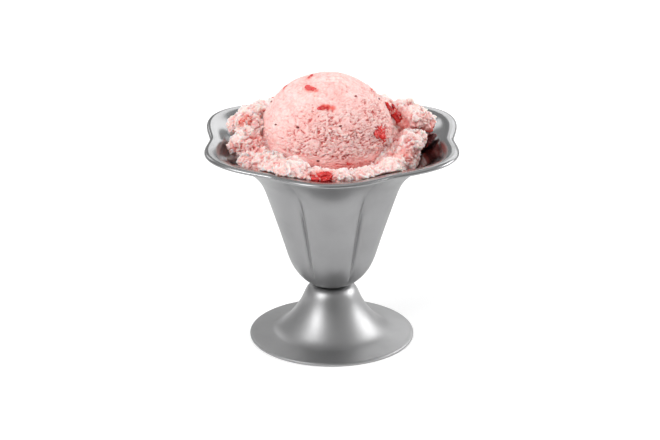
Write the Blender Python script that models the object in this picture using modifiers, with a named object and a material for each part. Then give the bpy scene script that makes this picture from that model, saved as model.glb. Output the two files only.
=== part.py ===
"""Strawberry ice cream in a tulip-shaped sundae dish of pressed stainless steel.

The dish is two pieces of sheet: a fluted bowl with six lobes and a turned
trumpet foot. A rough bed of ice cream fills the bowl and heaps up round one
smooth scoop. Strawberry pieces are set into both. Lengths are in metres, +Z is
up, the origin is the centre of the foot on the table, and one lobe faces -Y.
"""

import math
import random

import bmesh
import bpy
import numpy as np
from mathutils import Matrix, Vector, noise

MM = 0.001
WELD = 0.00001

# Dish
LOBES = 6
SHEET = 0.9 * MM
ROUND_BOWL = 60
ROUND_FOOT = 36
ROUND_ROOM = 36
# Outer side of the bowl along the middle of a lobe: radius and height in mm.
BOWL_LINE = (
    (0.0, 24.1),
    (7.6, 24.2),
    (11.7, 26.5),
    (15.0, 30.0),
    (18.0, 35.0),
    (20.5, 42.0),
    (25.8, 58.0),
    (28.6, 66.0),
    (31.2, 72.0),
    (35.0, 77.0),
    (39.8, 81.0),
    (46.2, 85.0),
    (52.5, 88.0),
    (55.6, 89.4),
)
# The edge turned over, down to its hem.
LIP = ((56.2, 89.5), (56.45, 89.25), (56.5, 88.8))
# How deep the flutes are pressed in, as a share of the radius, by height in mm.
FLUTE_HEIGHTS = (24.0, 27.0, 34.0, 50.0, 75.0, 89.5)
FLUTE_SHARES = (0.0, 0.015, 0.058, 0.072, 0.082, 0.108)
FLUTE_POWER = 2.5
WAVE_POWER = 1.6
WAVE_START = 76.0
WAVE_FULL = 88.0
NOTCH_DROP = 0.9
# Outer side of the foot: radius and height in mm.
FOOT_LINE = (
    (0.0, 23.75),
    (7.4, 23.7),
    (8.9, 23.2),
    (10.75, 21.0),
    (12.1, 18.0),
    (15.4, 12.0),
    (20.2, 6.2),
    (24.4, 3.5),
    (29.0, 2.2),
    (34.2, 1.3),
    (34.9, 0.8),
    (34.9, 0.0),
)

# Ice cream, in mm where the number isn't multiplied
FIT_GAP = 0.3 * MM
WALL_GAP = 0.35 * MM
SCOOP_CENTRE = Vector((-1.9, 0.0, 88.9)) * MM
SCOOP_RADIUS = 28.2 * MM
SCOOP_PRESSED = 0.62
SCOOP_SEGMENTS = 36
SCOOP_RINGS = 18
ROOM_TOP = 130.0
BED_BASE = 50.0
BURIED = 20.0
# Top of the bed under the lumps at the front: radius and height in mm.
BED_LINE = (
    (0.0, 84.0),
    (24.0, 85.0),
    (31.0, 87.4),
    (38.0, 88.4),
    (43.5, 88.0),
    (47.5, 86.0),
    (52.0, 80.0),
    (62.0, 70.0),
)
# The collar reaches out to the rim at the front only: elsewhere it is narrower
# by this share, and heaps up against the sides and the back of the scoop.
NARROW = 0.18
NARROW_BEARINGS = (30.0, 58.0)
HEAP = 12.0 * MM
HEAP_FOOT = 41.0 * MM
HEAP_CREST = 25.0 * MM
HEAP_BEARINGS = (36.0, 84.0)
BED_GRAIN = 0.8 * MM
BED_TRIANGLES = 4300
# Lumps of the bed: bearing from the front in degrees, distance from the axis,
# height and radius in mm, and height of the lump as a share of its width.
LUMPS = (
    # Left side, from the back to the front.
    (-114, 32.0, 95.6, 6.6, 0.85),
    (-98, 34.6, 97.6, 5.6, 0.90),
    (-96, 39.4, 93.4, 5.2, 0.90),
    (-84, 31.0, 96.6, 5.6, 0.80),
    (-72, 37.4, 90.0, 7.2, 0.80),
    (-58, 31.4, 91.6, 5.0, 0.80),
    (-56, 40.2, 86.8, 5.4, 0.90),
    (-43, 36.0, 88.4, 5.6, 0.80),
    # Front, where the bed is a low collar against the rim.
    (-37, 41.8, 87.8, 5.0, 0.80),
    (-25, 41.0, 89.4, 7.6, 0.62),
    (-13, 43.6, 88.2, 5.2, 0.62),
    (-6, 36.6, 88.4, 5.4, 0.60),
    (5, 43.8, 88.6, 4.8, 0.66),
    (12, 37.6, 86.6, 5.0, 0.62),
    (17, 43.4, 88.6, 4.8, 0.66),
    (27, 39.8, 86.4, 5.4, 0.62),
    (36, 41.6, 87.6, 4.6, 0.70),
    (43, 35.2, 87.2, 5.2, 0.80),
    # Right side, from the front to the back.
    (57, 32.6, 87.4, 5.0, 0.90),
    (61, 33.4, 92.8, 5.4, 0.95),
    (75, 31.4, 90.2, 5.4, 0.90),
    (81, 31.8, 92.6, 5.0, 0.90),
    (96, 35.0, 96.6, 5.8, 0.90),
    (99, 39.6, 94.4, 5.0, 0.80),
    (113, 33.0, 96.4, 6.4, 0.85),
    # Back.
    (127, 36.6, 90.6, 7.2, 0.85),
    (142, 32.0, 93.4, 6.8, 0.85),
    (154, 38.0, 91.8, 7.2, 0.80),
    (169, 32.4, 98.0, 7.0, 0.80),
    (-177, 38.6, 91.6, 7.0, 0.80),
    (-162, 32.4, 97.6, 6.8, 0.85),
    (-148, 37.6, 90.6, 7.2, 0.80),
    (-133, 32.4, 93.2, 7.0, 0.85),
    (-119, 38.4, 91.0, 6.0, 0.85),
)
# Small lumps that a seeded rule sets on the large ones.
CRUMB_LUMPS = 30
CRUMB_SEED = 11
CRUMB_SIZES = (1.8, 3.2)
CRUMB_TURN = 70.0
CRUMB_RISE = (10.0, 75.0)
CRUMB_DEPTH = 0.92
BERRY_DEPTH = 0.6 * MM
FLECK_DEPTH = 0.1 * MM
# Strawberry pieces in the bed: bearing, distance and height of the centre,
# three half sizes (round the axis, outwards, up) in mm, and outward lean in degrees.
BERRIES = {
    "strawberry_front": (-4.6, 44.4, 89.6, (5.6, 3.6, 3.6), 0),
    "strawberry_right": (104, 27.4, 97.8, (3.0, 2.9, 8.0), -24),
    "strawberry_left": (-84, 35.6, 97.4, (4.0, 3.4, 3.2), 10),
    "strawberry_back": (161, 35.4, 98.4, (5.4, 3.6, 3.2), 0),
    "strawberry_back_left": (-141, 38.4, 93.4, (3.6, 3.4, 3.4), 10),
}
# Strawberry piece in the side of the scoop: bearing, elevation, half sizes in mm.
SCOOP_BERRY = (56, 16, (5.2, 1.8, 3.3))
# Small red flecks fused to the scoop: bearing, elevation in degrees, half sizes in mm.
FLECKS = (
    (-43, 71, (2.1, 0.8, 0.9)),
    (-132, 69, (2.2, 0.7, 0.8)),
    (-8, 52, (1.6, 0.8, 0.9)),
    (96, 48, (1.6, 0.8, 1.0)),
    (141, 46, (2.2, 0.9, 1.4)),
    (172, 58, (2.0, 0.8, 1.1)),
    (-150, 44, (1.8, 0.8, 1.4)),
    (-104, 50, (1.5, 0.7, 1.0)),
)


def clear_scene():
    """Remove every object that the file starts with."""
    for thing in list(bpy.data.objects):
        bpy.data.objects.remove(thing, do_unlink=True)


def make_collection(name):
    """Make a collection under the scene's own."""
    made = bpy.data.collections.new(name)
    bpy.context.scene.collection.children.link(made)
    return made


def make_material(name, colour, roughness, metallic):
    """Make a plain Principled material."""
    made = bpy.data.materials.new(name)
    made.use_nodes = True
    shader = made.node_tree.nodes["Principled BSDF"]
    shader.inputs["Base Color"].default_value = (*colour, 1.0)
    shader.inputs["Roughness"].default_value = roughness
    shader.inputs["Metallic"].default_value = metallic
    return made


def add_object(name, mesh, collection, material=None):
    """Put a mesh into a collection as a named object."""
    made = bpy.data.objects.new(name, mesh)
    collection.objects.link(made)
    if material:
        mesh.materials.clear()
        mesh.materials.append(material)
    return made


def turned_mesh(name, line, segments):
    """Turn a line of radius and height in mm round Z with a Screw modifier.

    The line runs down the outer side, so that the faces point outwards.
    """
    mesh = bpy.data.meshes.new(name + "_line")
    points = [(r * MM, 0.0, z * MM) for r, z in line]
    mesh.from_pydata(points, [(i, i + 1) for i in range(len(points) - 1)], [])
    turned = add_object(name + "_line", mesh, bpy.context.scene.collection)
    screw = turned.modifiers.new("Screw", "SCREW")
    screw.steps = screw.render_steps = segments
    screw.use_merge_vertices = True
    screw.merge_threshold = WELD
    made = evaluated_mesh(turned, name)
    bpy.data.objects.remove(turned)
    return made


def evaluated_mesh(thing, name):
    """Return the mesh of an object with its modifiers applied."""
    graph = bpy.context.evaluated_depsgraph_get()
    graph.update()
    made = bpy.data.meshes.new_from_object(thing.evaluated_get(graph))
    made.name = name
    return made


def coordinates(mesh):
    """Return a mesh's points as an array of rows."""
    flat = np.empty(len(mesh.vertices) * 3)
    mesh.vertices.foreach_get("co", flat)
    return flat.reshape(-1, 3)


def smooth_step(x, low, high):
    """Rise smoothly from 0 at low to 1 at high."""
    t = np.clip((x - low) / (high - low), 0.0, 1.0)
    return t * t * (3.0 - 2.0 * t)


def press_flutes(mesh):
    """Press the flutes between the lobes into a turned mesh.

    On the body a flute is a crease where two round lobes meet; towards the rim
    it opens into a wave, and the rim dips a little in each notch.
    """
    points = coordinates(mesh)
    x, y, z = points.T
    height = z / MM
    bearing = np.degrees(np.arctan2(x, -y))
    half = 180.0 / LOBES
    across = np.abs((bearing + half) % (2 * half) - half) / half
    crease = across**FLUTE_POWER
    wave = 1.0 - np.cos(across * math.pi / 2) ** WAVE_POWER
    opened = smooth_step(height, WAVE_START, WAVE_FULL)
    share = np.interp(height, FLUTE_HEIGHTS, FLUTE_SHARES)
    factor = 1.0 - share * (crease + (wave - crease) * opened)
    points[:, 0] *= factor
    points[:, 1] *= factor
    points[:, 2] -= NOTCH_DROP * MM * wave * opened
    mesh.vertices.foreach_set("co", points.ravel())
    mesh.update()


def thicken(thing, thickness):
    """Give a sheet its thickness on the inner side."""
    wall = thing.modifiers.new("Wall", "SOLIDIFY")
    wall.thickness = thickness
    wall.offset = -1.0
    wall.use_even_offset = True


def make_bowl(collection, steel):
    """Make the fluted bowl with its turned-over lip."""
    stations = [*BOWL_LINE, *LIP]
    mesh = turned_mesh("dish_bowl", list(reversed(stations)), ROUND_BOWL)
    press_flutes(mesh)
    bowl = add_object("dish_bowl", mesh, collection, steel)
    thicken(bowl, SHEET)
    mesh.shade_smooth()
    return bowl


def make_foot(collection, steel):
    """Make the trumpet foot, open below, which stands on its turned-down edge."""
    mesh = turned_mesh("dish_foot", FOOT_LINE, ROUND_FOOT)
    foot = add_object("dish_foot", mesh, collection, steel)
    thicken(foot, SHEET)
    mesh.shade_smooth()
    return foot


def direction(bearing, elevation=0.0):
    """Unit vector for a bearing from the front and an elevation, in degrees."""
    a, e = math.radians(bearing), math.radians(elevation)
    return Vector((math.sin(a) * math.cos(e), -math.cos(a) * math.cos(e), math.sin(e)))


def lump_mesh(name, half_sizes, detail, roughness, wavelength):
    """Make an uneven ball: an icosphere whose points move along smooth noise."""
    shape = bmesh.new()
    bmesh.ops.create_icosphere(shape, subdivisions=detail, radius=1.0)
    offset = Vector((hash_number(name), hash_number(name + "y"), hash_number(name + "z")))
    for point in shape.verts:
        swell = noise.noise(point.co * wavelength + offset)
        point.co *= 1.0 + roughness * swell
        point.co = Vector(point.co[i] * half_sizes[i] for i in range(3))
    mesh = bpy.data.meshes.new(name)
    shape.to_mesh(mesh)
    shape.free()
    return mesh


def hash_number(text):
    """Turn a name into a number that is the same each run."""
    return sum(ord(letter) * (i + 3) for i, letter in enumerate(text)) % 97 * 1.7


def place(mesh, bearing, centre, lean=0.0):
    """Turn a mesh to a bearing, lean it outwards and move it to its centre."""
    turn = Matrix.Rotation(math.radians(bearing), 4, "Z") @ Matrix.Rotation(math.radians(lean), 4, "X")
    mesh.transform(Matrix.Translation(centre) @ turn)


def scoop_mesh(grow):
    """Make the scoop: a ball with its lower half pressed flat, grown by grow."""
    shape = bmesh.new()
    bmesh.ops.create_uvsphere(
        shape, u_segments=SCOOP_SEGMENTS, v_segments=SCOOP_RINGS, radius=1.0
    )
    for point in shape.verts:
        swell = 1.0 + 0.012 * noise.noise(point.co * 1.6)
        swell += 0.006 * noise.noise(point.co * 4.0 + Vector((5.0, 0.0, 0.0)))
        reach = SCOOP_RADIUS * swell + grow
        point.co *= reach
        if point.co.z < 0.0:
            point.co.z *= SCOOP_PRESSED
        point.co += SCOOP_CENTRE
    mesh = bpy.data.meshes.new("ice_cream_scoop")
    shape.to_mesh(mesh)
    shape.free()
    return mesh


def apply_boolean(target, operation, others, solver="EXACT"):
    """Join, cut or trim a mesh object with the objects of a collection."""
    change = target.modifiers.new(operation.title(), "BOOLEAN")
    change.operation = operation
    change.operand_type = "COLLECTION"
    change.collection = others
    change.solver = solver
    swap_mesh(target)
    for other in list(others.objects):
        bpy.data.objects.remove(other)
    bpy.data.collections.remove(others)


def thin_out(target, grain, triangles):
    """Remesh an object evenly, then keep only the triangles that its shape needs."""
    even = target.modifiers.new("Even", "REMESH")
    even.mode = "VOXEL"
    even.voxel_size = grain
    swap_mesh(target)
    fewer = target.modifiers.new("Fewer", "DECIMATE")
    fewer.ratio = triangles / (2 * len(target.data.polygons))
    swap_mesh(target)


def swap_mesh(target):
    """Apply an object's modifiers in place."""
    mesh = evaluated_mesh(target, target.name)
    target.modifiers.clear()
    old = target.data
    target.data = mesh
    bpy.data.meshes.remove(old)


def room_mesh():
    """Make the space inside the bowl, a wall gap clear of it, with room above."""
    mesh = turned_mesh("room", list(reversed(BOWL_LINE)), ROUND_ROOM)
    press_flutes(mesh)
    move_in(mesh, SHEET + WALL_GAP)
    shape = bmesh.new()
    shape.from_mesh(mesh)
    rim = [edge for edge in shape.edges if edge.is_boundary]
    risen = bmesh.ops.extrude_edge_only(shape, edges=rim)["geom"]
    top = [item for item in risen if isinstance(item, bmesh.types.BMVert)]
    for point in top:
        point.co.z = ROOM_TOP * MM
    cap = [edge for edge in shape.edges if edge.is_boundary]
    bmesh.ops.contextual_create(shape, geom=cap)
    bmesh.ops.recalc_face_normals(shape, faces=shape.faces)
    bmesh.ops.triangulate(shape, faces=shape.faces)
    shape.to_mesh(mesh)
    shape.free()
    return mesh


def move_in(mesh, distance):
    """Move every point of a sheet inwards along its normal."""
    points = coordinates(mesh)
    normals = np.empty(len(points) * 3)
    mesh.vertices.foreach_get("normal", normals)
    points -= normals.reshape(-1, 3) * distance
    mesh.vertices.foreach_set("co", points.ravel())
    mesh.update()


def bed_core_mesh():
    """Make the mound under the lumps, wider than the bowl all the way down."""
    line = [*BED_LINE, (BED_LINE[-1][0], BURIED), (0.0, BURIED)]
    mesh = turned_mesh("bed_core", line, ROUND_ROOM)
    points = coordinates(mesh)
    x, y, z = points.T
    beside = smooth_step(np.abs(np.degrees(np.arctan2(x, -y))), *HEAP_BEARINGS)
    inwards = smooth_step(-np.hypot(x, y), -HEAP_FOOT, -HEAP_CREST)
    on_top = z > BED_BASE * MM
    points[:, 2] += HEAP * inwards * beside * on_top
    narrowed = smooth_step(np.abs(np.degrees(np.arctan2(x, -y))), *NARROW_BEARINGS)
    points[:, :2] *= (1.0 - NARROW * narrowed * on_top)[:, None]
    mesh.vertices.foreach_set("co", points.ravel())
    mesh.update()
    return mesh


def add_lumps(collection):
    """Add the large lumps, and by a seeded rule the small ones that lie between them."""
    for number, (bearing, distance, height, radius, share) in enumerate(LUMPS):
        name = f"lump_{number:02d}"
        centre = direction(bearing) * distance * MM + Vector((0, 0, height * MM))
        sizes = [radius * MM, radius * MM, radius * share * MM]
        mesh = lump_mesh(name, sizes, 2, 0.30, 1.5)
        place(mesh, bearing, centre)
        add_object(name, mesh, collection)
    draw = random.Random(CRUMB_SEED)
    for number in range(CRUMB_LUMPS):
        bearing, distance, height, radius, share = draw.choice(LUMPS)
        name = f"crumb_{number:02d}"
        way = direction(bearing + draw.uniform(-CRUMB_TURN, CRUMB_TURN), draw.uniform(*CRUMB_RISE))
        centre = direction(bearing) * distance * MM + Vector((0, 0, height * MM))
        centre += Vector((way.x, way.y, way.z * share)) * radius * CRUMB_DEPTH * MM
        size = draw.uniform(*CRUMB_SIZES) * MM
        mesh = lump_mesh(name, [size, size, size], 1, 0.5, 2.1)
        mesh.transform(Matrix.Translation(centre))
        add_object(name, mesh, collection)


def berry_meshes(grow):
    """Make the strawberry pieces, each grown by grow on every side."""
    made = {}
    for name, (bearing, distance, height, half_sizes, lean) in BERRIES.items():
        sizes = [size * MM + grow for size in half_sizes]
        mesh = lump_mesh(name, sizes, 2, 0.22, 1.9)
        centre = direction(bearing) * distance * MM + Vector((0, 0, height * MM))
        place(mesh, bearing, centre, lean)
        made[name] = mesh
    bearing, elevation, half_sizes = SCOOP_BERRY
    mesh = lump_mesh("strawberry_scoop", [size * MM + grow for size in half_sizes], 2, 0.22, 1.9)
    place(mesh, bearing, SCOOP_CENTRE + direction(bearing, elevation) * (SCOOP_RADIUS - BERRY_DEPTH))
    made["strawberry_scoop"] = mesh
    return made


def cutters(meshes, name):
    """Put meshes into a collection of cutters that the build leaves out."""
    group = make_collection(name)
    for number, mesh in enumerate(meshes):
        cutter = add_object(f"{name}_{number}", mesh, group)
        cutter.hide_render = True
        cutter.display_type = "WIRE"
    return group


def make_scoop(collection, cream):
    """Make the scoop with its fused flecks and the pocket of its strawberry piece."""
    scoop = add_object("ice_cream_scoop", scoop_mesh(0.0), collection, cream)
    flecks = make_collection("flecks")
    for number, (bearing, elevation, half_sizes) in enumerate(FLECKS):
        name = f"fleck_{number}"
        mesh = lump_mesh(name, [size * MM for size in half_sizes], 1, 0.2, 2.0)
        tilt = Matrix.Rotation(math.radians(elevation), 4, "X")
        turn = Matrix.Rotation(math.radians(bearing), 4, "Z") @ tilt.inverted()
        way = direction(bearing, elevation)
        mesh.transform(Matrix.Translation(SCOOP_CENTRE + way * (SCOOP_RADIUS - FLECK_DEPTH)) @ turn)
        add_object(name, mesh, flecks)
    apply_boolean(scoop, "UNION", flecks, "MANIFOLD")
    pocket = cutters([berry_meshes(FIT_GAP)["strawberry_scoop"]], "scoop_pocket")
    apply_boolean(scoop, "DIFFERENCE", pocket)
    scoop.data.shade_smooth()
    return scoop


def make_bed(collection, cream):
    """Make the bed: mound and lumps joined, trimmed to the bowl, with its pockets cut."""
    bed = add_object("ice_cream_bed", bed_core_mesh(), collection, cream)
    lumps = make_collection("lumps")
    add_lumps(lumps)
    apply_boolean(bed, "UNION", lumps, "MANIFOLD")
    thin_out(bed, BED_GRAIN, BED_TRIANGLES)
    apply_boolean(bed, "INTERSECT", cutters([room_mesh()], "room"), "MANIFOLD")
    grown = [scoop_mesh(FIT_GAP), *berry_meshes(FIT_GAP).values()]
    apply_boolean(bed, "DIFFERENCE", cutters(grown, "bed_pockets"), "MANIFOLD")
    keep_largest_piece(bed.data)
    bed.data.shade_smooth()
    return bed


def keep_largest_piece(mesh):
    """Drop the loose scraps that a cut leaves beside the main body."""
    shape = bmesh.new()
    shape.from_mesh(mesh)
    waiting = set(shape.verts)
    pieces = []
    while waiting:
        edge_of_piece = [waiting.pop()]
        piece = set(edge_of_piece)
        while edge_of_piece:
            point = edge_of_piece.pop()
            for edge in point.link_edges:
                other = edge.other_vert(point)
                if other in waiting:
                    waiting.remove(other)
                    piece.add(other)
                    edge_of_piece.append(other)
        pieces.append(piece)
    pieces.sort(key=len)
    for piece in pieces[:-1]:
        bmesh.ops.delete(shape, geom=list(piece), context="VERTS")
    shape.to_mesh(mesh)
    shape.free()


def make_berries(collection, flesh):
    """Make the strawberry pieces, with those beside the scoop trimmed clear of it."""
    for name, mesh in berry_meshes(0.0).items():
        berry = add_object(name, mesh, collection, flesh)
        if name != "strawberry_scoop":
            apply_boolean(berry, "DIFFERENCE", cutters([scoop_mesh(FIT_GAP)], "scoop_clear"))
        berry.data.shade_smooth()


def main():
    """Build the whole object."""
    clear_scene()
    parts = make_collection("strawberry_sundae")
    bowl_steel = make_material("satin steel", (0.50, 0.50, 0.50), 0.34, 1.0)
    foot_steel = make_material("brushed steel", (0.52, 0.52, 0.52), 0.28, 1.0)
    cream = make_material("strawberry ice cream", (0.90, 0.55, 0.52), 0.55, 0.0)
    flesh = make_material("strawberry flesh", (0.72, 0.07, 0.06), 0.3, 0.0)
    make_foot(parts, foot_steel)
    make_bowl(parts, bowl_steel)
    make_bed(parts, cream)
    make_scoop(parts, cream)
    make_berries(parts, flesh)


main()
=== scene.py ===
"""Looks of a strawberry sundae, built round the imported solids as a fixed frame.

A fluted tulip dish of stainless steel stands on a turned trumpet foot. A rough
bed of ice cream fills it and heaps up round one scoop, with strawberry pieces
set into both. Lengths in the shapes are millimetres, and turn into metres only
when a mesh is made. Bearings are degrees from -Y, the side that the camera
sees, towards +X.
"""

import itertools
import logging
import math
from dataclasses import dataclass, field
from enum import Enum
from typing import Any

import bpy
import numpy as np
from mathutils import Matrix, Vector


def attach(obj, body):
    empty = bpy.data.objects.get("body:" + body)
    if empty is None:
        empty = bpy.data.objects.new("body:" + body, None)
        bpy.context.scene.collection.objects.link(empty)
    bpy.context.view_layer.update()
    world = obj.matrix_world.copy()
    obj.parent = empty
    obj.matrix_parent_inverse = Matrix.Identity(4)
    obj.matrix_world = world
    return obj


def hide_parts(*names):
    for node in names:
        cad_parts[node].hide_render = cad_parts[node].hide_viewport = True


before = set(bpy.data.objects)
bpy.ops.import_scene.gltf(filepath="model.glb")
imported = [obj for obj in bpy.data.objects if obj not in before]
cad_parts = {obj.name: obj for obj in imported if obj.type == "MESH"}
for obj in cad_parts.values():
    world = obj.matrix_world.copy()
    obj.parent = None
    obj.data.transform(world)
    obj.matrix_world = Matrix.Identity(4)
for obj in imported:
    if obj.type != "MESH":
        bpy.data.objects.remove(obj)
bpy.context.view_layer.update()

MM = 0.001
Triple = tuple[float, float, float]
Colour = Triple
Array = np.ndarray
Station = tuple[float, float]
log = logging.getLogger("sundae")


class Noise:
    """Smooth random fields of position, the same on every run."""

    def __init__(self, seed: int) -> None:
        """Draw the tables that the fields read.

        Args:
            seed: Number that picks this set of fields.
        """
        draw = np.random.default_rng(seed)
        self.order = np.tile(draw.permutation(256), 3)
        ways = draw.normal(size=(256, 3))
        self.ways = ways / np.linalg.norm(ways, axis=1, keepdims=True)
        self.spots = draw.random((256, 3))

    def _pick(self, cell: Array) -> Array:
        """Give each whole-number cell a table entry."""
        a, b, c = (cell & 255).T
        return self.order[self.order[self.order[a] + b] + c]

    def smooth(self, points: Array, size: float) -> Array:
        """Gradient noise: random slopes at the corners of a grid, blended by quintic fades.

        Args:
            points: Rows of x, y, z.
            size: Distance across one cell of the grid.

        Returns:
            One value for each row, about -1 to 1.
        """
        scaled = points / size
        low = np.floor(scaled).astype(np.int64)
        part = scaled - low
        fade = part**3 * (part * (part * 6 - 15) + 10)
        total = np.zeros(len(points))
        for corner in itertools.product((0, 1), repeat=3):
            step = np.array(corner)
            slope = (self.ways[self._pick(low + step)] * (part - step)).sum(1)
            total += slope * np.where(step, fade, 1 - fade).prod(1)
        return total * 1.6

    def layered(self, points: Array, size: float, layers: int) -> Array:
        """Sum of gradient noises, each half the size and half the strength of the last.

        Args:
            points: Rows of x, y, z.
            size: Cell size of the first.
            layers: How many are added.

        Returns:
            One value for each row.
        """
        total = np.zeros(len(points))
        for level in range(layers):
            total += 0.5**level * self.smooth(points + 17.0 * level, size / 2**level)
        return total

    def ridged(self, points: Array, size: float, layers: int) -> Array:
        """Creased noise from 0 to about 1: one less the size of layered noise, squared."""
        return np.clip(1 - 1.6 * np.abs(self.layered(points, size, layers)), 0, 1) ** 2

    def nearest(self, points: Array, size: float) -> Array:
        """Distance to the nearest of one random spot in each cell.

        Args:
            points: Rows of x, y, z.
            size: Distance across one cell.

        Returns:
            Distances as shares of size.
        """
        scaled = points / size
        low = np.floor(scaled).astype(np.int64)
        best = np.full(len(points), 9.0)
        for corner in itertools.product((-1, 0, 1), repeat=3):
            cell = low + np.array(corner)
            best = np.minimum(best, ((scaled - cell - self.spots[self._pick(cell)]) ** 2).sum(1))
        return np.sqrt(best)

    def cracks(self, points: Array, size: float, layers: int, low: float = 0.45) -> Array:
        """Thin lines: ridged noise, faded in from low to 0.95."""
        return rise(self.ridged(points, size, layers), low, 0.95)

    def shifts(self, points: Array, size: float) -> Array:
        """Three smooth noises side by side, to move points by."""
        return np.stack([self.smooth(points + 11.0 * axis, size) for axis in range(3)], axis=1)


def rise(x: Array | float, low: float, high: float) -> Array:
    """Go smoothly from 0 at low to 1 at high: t squared times 3 less 2t. Low may exceed high."""
    t = np.clip((np.asarray(x, float) - low) / (high - low), 0, 1)
    return t * t * (3 - 2 * t)


def cubic_line(stations: tuple[Station, ...], count: int) -> Array:
    """Natural cubic spline by chord length through stations.

    Args:
        stations: Points of radius and height.
        count: How many points to return, evenly along the line.

    Returns:
        Rows of radius and height.
    """
    given = np.array(stations, float)
    gaps = np.hypot(*np.diff(given, axis=0).T)
    along = np.concatenate([[0], np.cumsum(gaps)])
    slopes = np.diff(given, axis=0) / gaps[:, None]
    matrix = np.diag(np.concatenate([[1], 2 * (gaps[:-1] + gaps[1:]), [1]]))
    matrix += np.diag(np.concatenate([[0], gaps[1:]]), 1)
    matrix += np.diag(np.concatenate([gaps[:-1], [0]]), -1)
    right = np.zeros_like(given)
    right[1:-1] = 6 * np.diff(slopes, axis=0)
    bend = np.linalg.solve(matrix, right)
    at = np.linspace(0, along[-1], count)
    span = np.clip(np.searchsorted(along, at, "right") - 1, 0, len(gaps) - 1)
    width = gaps[span][:, None]
    past = (at - along[span])[:, None]
    left = width - past
    curve = (bend[span] * left**3 + bend[span + 1] * past**3) / (6 * width)
    curve += (given[span] / width - bend[span] * width / 6) * left
    return curve + (given[span + 1] / width - bend[span + 1] * width / 6) * past


def moved_over(line: Array, step: float) -> Array:
    """Move a line to its left along its normals.

    Args:
        line: Rows of radius and height.
        step: How far to move.

    Returns:
        The moved rows.
    """
    way = np.gradient(line, axis=0)
    way /= np.linalg.norm(way, axis=1, keepdims=True)
    return line + step * np.stack([-way[:, 1], way[:, 0]], axis=1)


def straight_line(start: Station, end: Station, count: int) -> Array:
    """Even points from start up to, but not at, end."""
    return np.linspace(start, end, count, endpoint=False)


def direction(bearing: Array | float, elevation: Array | float = 0.0) -> Array:
    """Unit vector, or rows of them, for bearings and elevations in degrees."""
    a, e = np.radians(bearing), np.radians(elevation)
    return np.stack([np.sin(a) * np.cos(e), -np.cos(a) * np.cos(e), np.sin(e) + 0 * a], axis=-1)


def bearing_of(points: Array) -> Array:
    """Bearing of each row in degrees, from -180 to 180."""
    return np.degrees(np.arctan2(points[:, 0], -points[:, 1]))


def elevation_of(ways: Array) -> Array:
    """Elevation of each unit vector in degrees."""
    return np.degrees(np.arcsin(np.clip(ways[:, 2], -1, 1)))


def turn_of(bearing: float, lean: float) -> Array:
    """Matrix that leans a piece about X and then turns it to a bearing."""
    turn = Matrix.Rotation(math.radians(bearing), 3, "Z")
    return np.array(turn @ Matrix.Rotation(math.radians(lean), 3, "X"))


@dataclass
class Shape:
    """A mesh as arrays: points in millimetres, faces, and values for each point."""

    points: Array
    quads: Array = field(default_factory=lambda: np.zeros((0, 4), np.int64))
    triangles: Array = field(default_factory=lambda: np.zeros((0, 3), np.int64))
    values: dict[str, Array] = field(default_factory=dict)

    def all_triangles(self) -> Array:
        """Split the quads in two and add the triangles."""
        return np.concatenate([self.quads[:, [0, 1, 2]], self.quads[:, [0, 2, 3]], self.triangles])

    def outwards(self) -> "Shape":
        """Turn the faces over if the signed volume, the sum of triple products, is negative."""
        a, b, c = (self.points[self.all_triangles()[:, i]] for i in range(3))
        if (a * np.cross(b, c)).sum() < 0:
            self.quads = self.quads[:, ::-1]
            self.triangles = self.triangles[:, ::-1]
        return self

    def normals(self) -> Array:
        """Unit normal at each point: the sum of its faces' cross products."""
        faces = self.all_triangles()
        a, b, c = (self.points[faces[:, i]] for i in range(3))
        across = np.cross(b - a, c - a)
        total = np.zeros_like(self.points)
        for corner in range(3):
            for axis in range(3):
                total[:, axis] += np.bincount(
                    faces[:, corner], weights=across[:, axis], minlength=len(total)
                )
        return total / np.maximum(np.linalg.norm(total, axis=1, keepdims=True), 1e-12)


def joined(shapes: list[Shape]) -> Shape:
    """Put several shapes with the same values into one.

    Args:
        shapes: The shapes, which keep their places.

    Returns:
        One shape.
    """
    starts = np.cumsum([0] + [len(shape.points) for shape in shapes[:-1]])
    pairs = list(zip(shapes, starts))
    return Shape(
        np.concatenate([shape.points for shape in shapes]),
        np.concatenate([shape.quads + start for shape, start in pairs]),
        np.concatenate([shape.triangles + start for shape, start in pairs]),
        {key: np.concatenate([shape.values[key] for shape in shapes]) for key in shapes[0].values},
    )


def turned(line: Array, columns: int, gathered: float = 0.0) -> Shape:
    """Carry a line of radius and height round the axis, with a pole at each end.

    The point at row i and column j is (r sin b, -r cos b, z), where b is j of
    columns shares of a turn, plus gathered degrees times the sine of six times
    itself, which draws columns to the six notches.

    Args:
        line: Rows of radius and height, from pole to pole.
        columns: How many points go round.
        gathered: Degrees by which columns are drawn to the notches.

    Returns:
        The closed shape.
    """
    bearings = np.arange(columns) * 360.0 / columns
    bearings += gathered * np.sin(np.radians(6 * bearings))
    ring = direction(bearings)
    rows = line[1:-1]
    points = rows[:, None, :1] * ring[None] + np.array([0, 0, 1.0]) * rows[:, None, 1:]
    return closed_rows(points, (0, 0, line[0, 1]), (0, 0, line[-1, 1]))


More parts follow.
